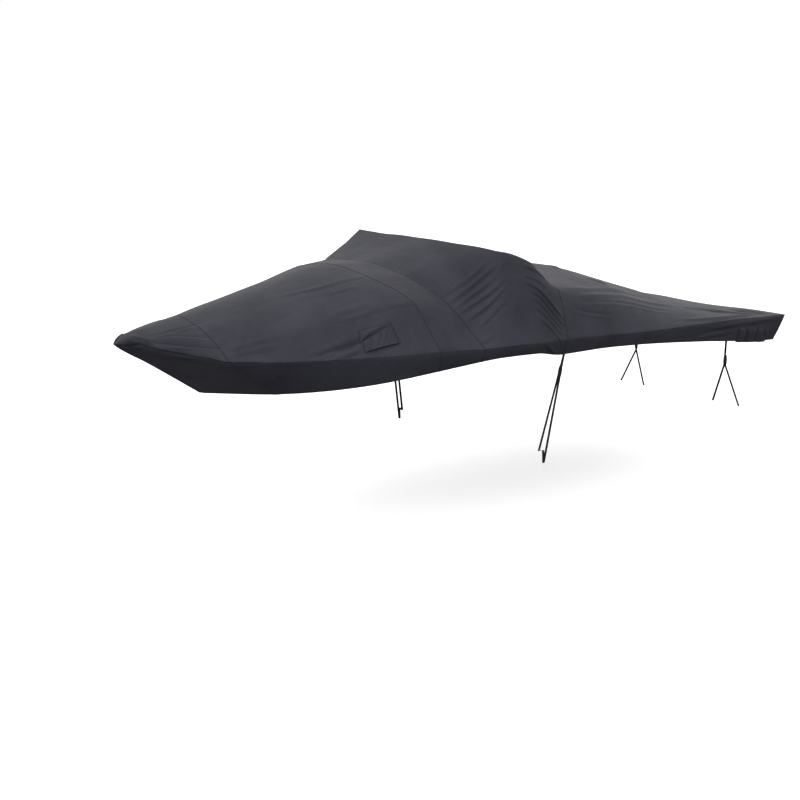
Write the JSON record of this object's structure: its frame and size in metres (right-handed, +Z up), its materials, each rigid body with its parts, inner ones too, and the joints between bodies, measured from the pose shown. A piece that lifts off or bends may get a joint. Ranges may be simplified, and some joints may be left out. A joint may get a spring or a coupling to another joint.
{
  "type": "boat cover",
  "caption": "Fitted travel cover for an open boat, drawn tight over rail and raised windscreen, with vent flaps, a stern apron and webbing tie-downs with side-release buckles.",
  "frame": {"origin": "under the cover's top, at the middle of the raised peak's upper edge, on the boat's centre plane", "axes": "+X towards the stern, -Y to port, +Z up; the boat's centre line lies in the XZ plane"},
  "size_m": [6.1938, 2.532, 1.8333],
  "materials": {
    "cover_cloth": "black coated polyester weave, soft sheen",
    "patch_cloth": "black coated polyester weave, single layer, puckered",
    "webbing": "black woven polypropylene webbing",
    "buckle_plastic": "moulded black acetal, satin"
  },
  "bodies": {
    "root": {"nose_panel": "cover_cloth", "fore_panel": "cover_cloth", "yoke_panel": "cover_cloth", "peak_panel": "cover_cloth", "aft_panel": "cover_cloth", "stern_panel": "cover_cloth", "vent_flap_port": "patch_cloth", "vent_flap_starboard": "patch_cloth", "quarter_patch_port": "patch_cloth", "quarter_patch_starboard": "patch_cloth", "tie_port_run": "webbing", "tie_port_anchor": "webbing", "tie_port_buckle_socket": "buckle_plastic", "tie_port_buckle_plug": "buckle_plastic", "tie_starboard_run": "webbing", "tie_starboard_anchor": "webbing", "tie_starboard_buckle_socket": "buckle_plastic", "tie_starboard_buckle_plug": "buckle_plastic", "stern_tie_port_run": "webbing", "stern_tie_port_anchor": "webbing", "stern_tie_port_buckle_socket": "buckle_plastic", "stern_tie_port_buckle_plug": "buckle_plastic", "stern_tie_starboard_run": "webbing", "stern_tie_starboard_anchor": "webbing", "stern_tie_starboard_buckle_socket": "buckle_plastic", "stern_tie_starboard_buckle_plug": "buckle_plastic"}
  },
  "joints": []
}
